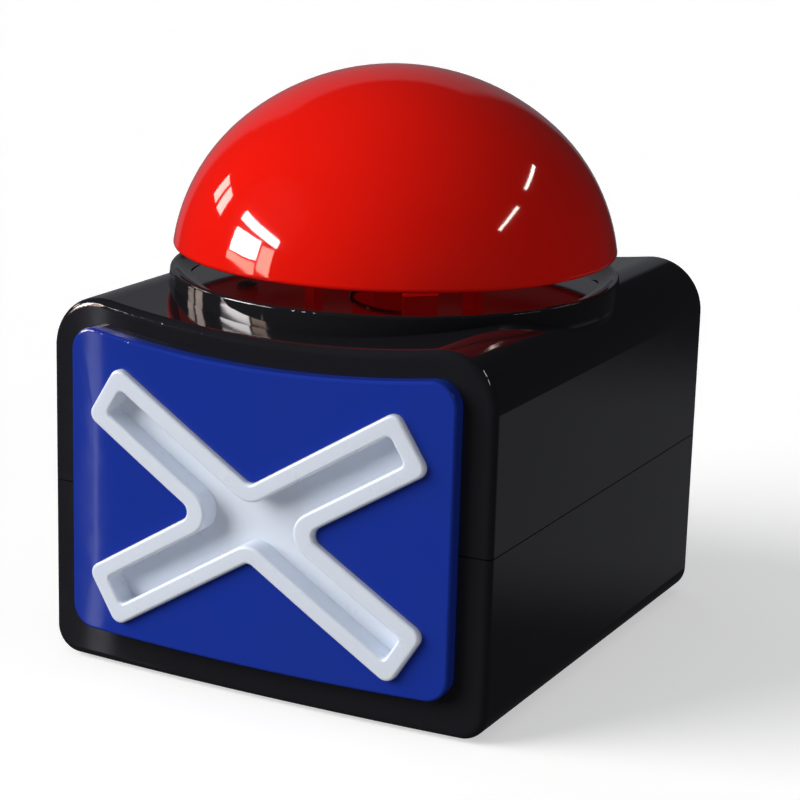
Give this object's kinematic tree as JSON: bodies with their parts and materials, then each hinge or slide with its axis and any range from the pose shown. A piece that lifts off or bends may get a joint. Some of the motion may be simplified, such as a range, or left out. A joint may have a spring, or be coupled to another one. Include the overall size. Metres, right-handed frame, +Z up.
{
  "type": "quiz buzzer",
  "caption": "Square battery buzzer with a big domed push button on a cradle-shaped top, and a light-up cross on its front panel.",
  "frame": {"origin": "centre of the object's footprint box, on the plane that its four feet stand on", "axes": "+Z up, along the dome's axis and its press; -Y faces the player, out of the front panel; +X to the right seen from the front"},
  "size_m": [0.11, 0.1246, 0.1345],
  "materials": {
    "red_dome": "glossy red moulded plastic",
    "black_case": "glossy black moulded ABS",
    "blue_panel": "glossy blue moulded plastic",
    "white_lens": "translucent white moulded plastic",
    "dark_plastic": "matte black moulded plastic",
    "rubber": "moulded black rubber",
    "steel": "zinc-plated steel",
    "spring_steel": "drawn spring steel wire",
    "board": "green solder mask on glass epoxy",
    "led": "clear red epoxy",
    "chip": "black epoxy",
    "cone": "black paper",
    "ferrite": "ferrite magnet with a steel back plate",
    "cell_jacket": "printed film over a steel can",
    "wire_jacket": "soft PVC insulation",
    "led_red": "moulded red nylon"
  },
  "bodies": {
    "case": {"upper_case": "black_case", "lower_case": "black_case", "rubber_feet": "rubber", "case_screws": "steel", "front_panel": "blue_panel", "panel_screws": "steel", "cross_lens": "white_lens", "light_board": "board", "light_leds": "led", "light_board_screws": "steel", "collar_ring": "black_case", "return_spring": "spring_steel", "spring_guide": "dark_plastic", "guide_screws": "steel", "switch_body": "dark_plastic", "switch_terminals": "steel", "switch_screws": "steel", "contact_springs": "spring_steel", "contact_plates": "steel", "control_board": "board", "board_screws": "steel", "sound_chip": "chip", "board_parts": "chip", "speaker_frame": "steel", "speaker_cone": "cone", "speaker_magnet": "ferrite", "speaker_screws": "steel", "power_switch": "steel", "power_screws": "steel", "battery_wires": "wire_jacket", "speaker_wires": "wire_jacket", "light_wires": "wire_jacket", "switch_wires": "wire_jacket", "power_wires": "wire_jacket", "battery_cell_1": "cell_jacket", "battery_cell_2": "cell_jacket", "battery_cell_3": "cell_jacket"},
    "dome": {"dome_cap": "red_dome", "dome_carrier": "red_dome", "dome_screws": "steel"},
    "switch_lever": {"switch_lever": "spring_steel"},
    "switch_actuator": {"switch_actuator": "led_red"},
    "battery_door": {"battery_door": "black_case", "door_screw": "steel"},
    "power_knob": {"power_knob": "dark_plastic"}
  },
  "joints": [
    {"name": "button_press", "type": "slide", "parent": "case", "child": "dome", "axis": [0, 0, -1], "range_m": [0, 0.004], "stiffness_N_per_m": 700, "springref_m": -0.008, "deforming": ["return_spring"]},
    {"name": "switch_lever_turn", "type": "hinge", "parent": "case", "child": "switch_lever", "pos_m": [-0.0175, 0.00328, 0.0468], "axis": [0, 1, 0], "range_deg": [0, 13]},
    {"name": "switch_actuator_slide", "type": "slide", "parent": "case", "child": "switch_actuator", "axis": [0, 0, -1], "range_m": [0, 0.0011]},
    {"name": "power_slide", "type": "slide", "parent": "case", "child": "power_knob", "axis": [1, 0, 0], "range_m": [0, 0.003]},
    {"name": "battery_door_tilt", "type": "hinge", "parent": "case", "child": "battery_door", "pos_m": [0, -0.03482, 0.0015], "axis": [-1, 0, 0], "range_deg": [0, 35]}
  ],
  "couplings": [
    {"joint": "switch_lever_turn", "follows": "button_press", "rad_per_m": 54.541},
    {"joint": "switch_actuator_slide", "follows": "button_press", "ratio": 0.25}
  ]
}
